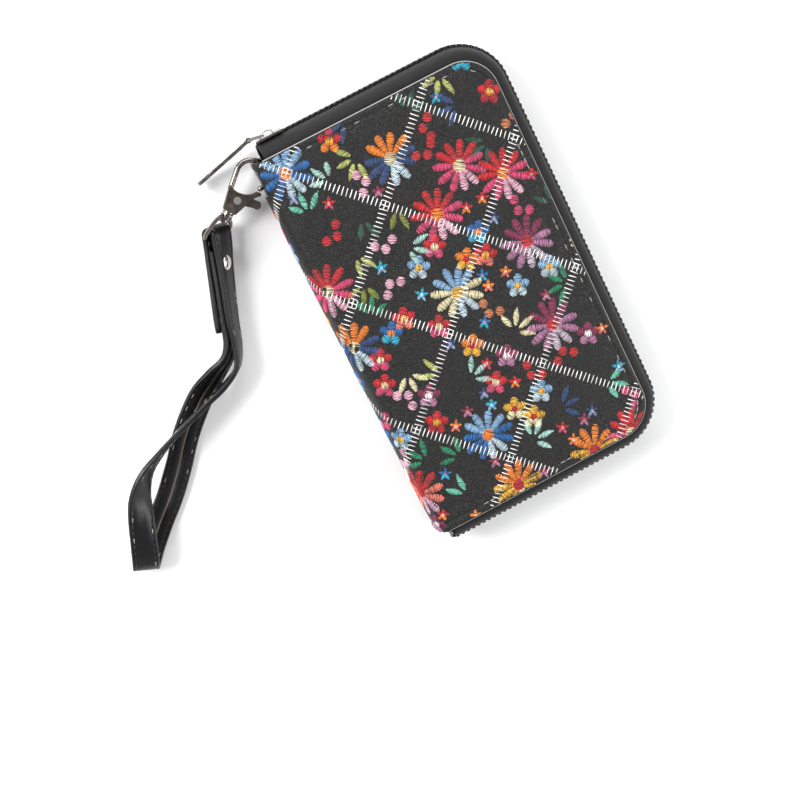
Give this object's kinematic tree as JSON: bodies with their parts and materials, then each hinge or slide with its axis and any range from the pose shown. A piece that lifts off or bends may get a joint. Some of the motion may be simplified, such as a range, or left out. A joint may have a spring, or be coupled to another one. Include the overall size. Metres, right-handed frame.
{
  "type": "wristlet wallet",
  "caption": "Zip-around wallet with card pockets, a zipped coin pocket and a loop wrist strap that clips to a D-ring at the spine.",
  "frame": {"origin": "centre of the back cover's flat outer face, on the surface that the closed wallet lies on", "axes": "+Z out through the front cover; -X towards the spine; +Y along the spine, towards the end with the slider and the wrist strap"},
  "size_m": [0.2477, 0.2038, 0.024],
  "materials": {
    "leather_outer": "fine pebble grain, soft satin",
    "leather_trim": "smooth, soft satin",
    "board": "grey board",
    "lining_cloth": "twill lining",
    "pocket_leather": "smooth, matt",
    "zip_tape": "woven herringbone tape",
    "zip_teeth": "satin",
    "coin_teeth": "satin nickel",
    "bright_metal": "polished nickel",
    "clasp_metal": "polished gunmetal",
    "strap_leather": "smooth, satin, stitched edges",
    "rivet_metal": "polished nickel"
  },
  "bodies": {
    "wallet_back": {"back_cover": "leather_outer", "back_board": "board", "back_lining": "lining_cloth", "back_card_pocket_1": "pocket_leather", "back_card_pocket_2": "pocket_leather", "back_card_pocket_3": "pocket_leather", "back_card_pocket_4": "pocket_leather", "back_zip_tape_top": "zip_tape", "back_zip_tape_side": "zip_tape", "back_zip_tape_bottom": "zip_tape", "back_zip_teeth": "zip_teeth", "zip_end_stop": "bright_metal", "rear_gussets": "lining_cloth"},
    "spine": {"spine_leather": "leather_outer", "spine_lining": "lining_cloth", "coin_pocket_rear": "pocket_leather", "coin_pocket_front": "pocket_leather", "coin_pocket_ends": "lining_cloth", "coin_zip_tapes": "zip_tape", "coin_zip_teeth": "coin_teeth"},
    "wallet_front": {"front_cover": "leather_outer", "front_board": "board", "front_lining": "lining_cloth", "front_card_pocket_1": "pocket_leather", "front_card_pocket_2": "pocket_leather", "front_card_pocket_3": "pocket_leather", "front_card_pocket_4": "pocket_leather", "front_zip_tape_top": "zip_tape", "front_zip_tape_side": "zip_tape", "front_zip_tape_bottom": "zip_tape", "front_zip_teeth": "zip_teeth", "front_gussets": "lining_cloth"},
    "slider": {"zip_slider": "bright_metal", "zip_slider_bail": "bright_metal"},
    "link": {"pull_link": "bright_metal"},
    "pull": {"zip_pull": "bright_metal"},
    "coin_zip": {"coin_slider": "bright_metal", "coin_slider_bail": "bright_metal"},
    "coin_tab": {"coin_pull": "bright_metal"},
    "tab": {"ring_tab": "leather_trim"},
    "hanging_ring": {"d_ring": "clasp_metal"},
    "clasp": {"clasp_body": "clasp_metal", "clasp_hook": "clasp_metal", "clasp_rivet": "rivet_metal", "swivel_post": "clasp_metal"},
    "lever": {"clasp_lever": "clasp_metal"},
    "swivel_ring": {"strap_ring": "clasp_metal"},
    "wrist_strap": {"strap_outer_half": "strap_leather", "strap_inner_half": "strap_leather", "strap_rivet": "rivet_metal"}
  },
  "joints": [
    {"name": "spine_fold", "type": "hinge", "parent": "wallet_back", "child": "spine", "pos_m": [-0.051, 0, 0.0006], "axis": [0, -1, 0], "range_deg": [0, 26], "deforming": ["rear_gussets"]},
    {"name": "cover_fold", "type": "hinge", "parent": "spine", "child": "wallet_front", "pos_m": [-0.051, 0, 0.0234], "axis": [0, -1, 0], "range_deg": [0, 26], "deforming": ["front_gussets"]},
    {"name": "zip_slide", "type": "slide", "parent": "wallet_back", "child": "slider", "axis": [1, 0, 0], "range_m": [0, 0.024]},
    {"name": "link_swing", "type": "hinge", "parent": "slider", "child": "link", "pos_m": [-0.0451, 0.1018, 0.012], "axis": [0, 0, 1], "range_deg": [-120, 0]},
    {"name": "pull_swing", "type": "hinge", "parent": "link", "child": "pull", "pos_m": [-0.0515, 0.1026, 0.012], "axis": [0, 0, 1], "range_deg": [-72.5, 0]},
    {"name": "coin_zip_slide", "type": "slide", "parent": "spine", "child": "coin_zip", "axis": [0, -1, 0], "range_m": [0, 0.14]},
    {"name": "coin_tab_swing", "type": "hinge", "parent": "coin_zip", "child": "coin_tab", "pos_m": [0.044, 0.0712, 0.012], "axis": [0, 0, 1], "range_deg": [0, 25]},
    {"name": "tab_bend", "type": "hinge", "parent": "spine", "child": "tab", "pos_m": [-0.0471, 0.0896, 0.013], "axis": [0, 1, 0], "range_deg": [0, 26]},
    {"name": "d_ring_swing", "type": "hinge", "parent": "tab", "child": "hanging_ring", "pos_m": [-0.0471, 0.0896, 0.011], "axis": [0, 0, 1], "range_deg": [0, 4]},
    {"name": "clasp_lift", "type": "hinge", "parent": "hanging_ring", "child": "clasp", "pos_m": [-0.0547, 0.0922, 0.011], "axis": [-0.5534, 0.8329, 0], "range_deg": [0, 5]},
    {"name": "lever_press", "type": "hinge", "parent": "clasp", "child": "lever", "pos_m": [-0.06771, 0.08184, 0.011], "axis": [0, 0, 1], "range_deg": [0, 20], "stiffness_Nm_per_rad": 0.01},
    {"name": "strap_swivel", "type": "hinge", "parent": "clasp", "child": "swivel_ring", "pos_m": [-0.07526, 0.07767, 0.011], "axis": [-0.8329, -0.5534, 0], "range_deg": [-90, 90]},
    {"name": "strap_swing", "type": "hinge", "parent": "swivel_ring", "child": "wrist_strap", "pos_m": [-0.08224, 0.07279, 0.00839], "axis": [-0.7, 0.1451, 0.6992], "range_deg": [-25, 25]}
  ],
  "couplings": [
    {"joint": "cover_fold", "follows": "spine_fold", "ratio": 1},
    {"joint": "tab_bend", "follows": "spine_fold", "ratio": 1},
    {"joint": "pull_swing", "follows": "zip_slide", "rad_per_m": -52.36}
  ]
}
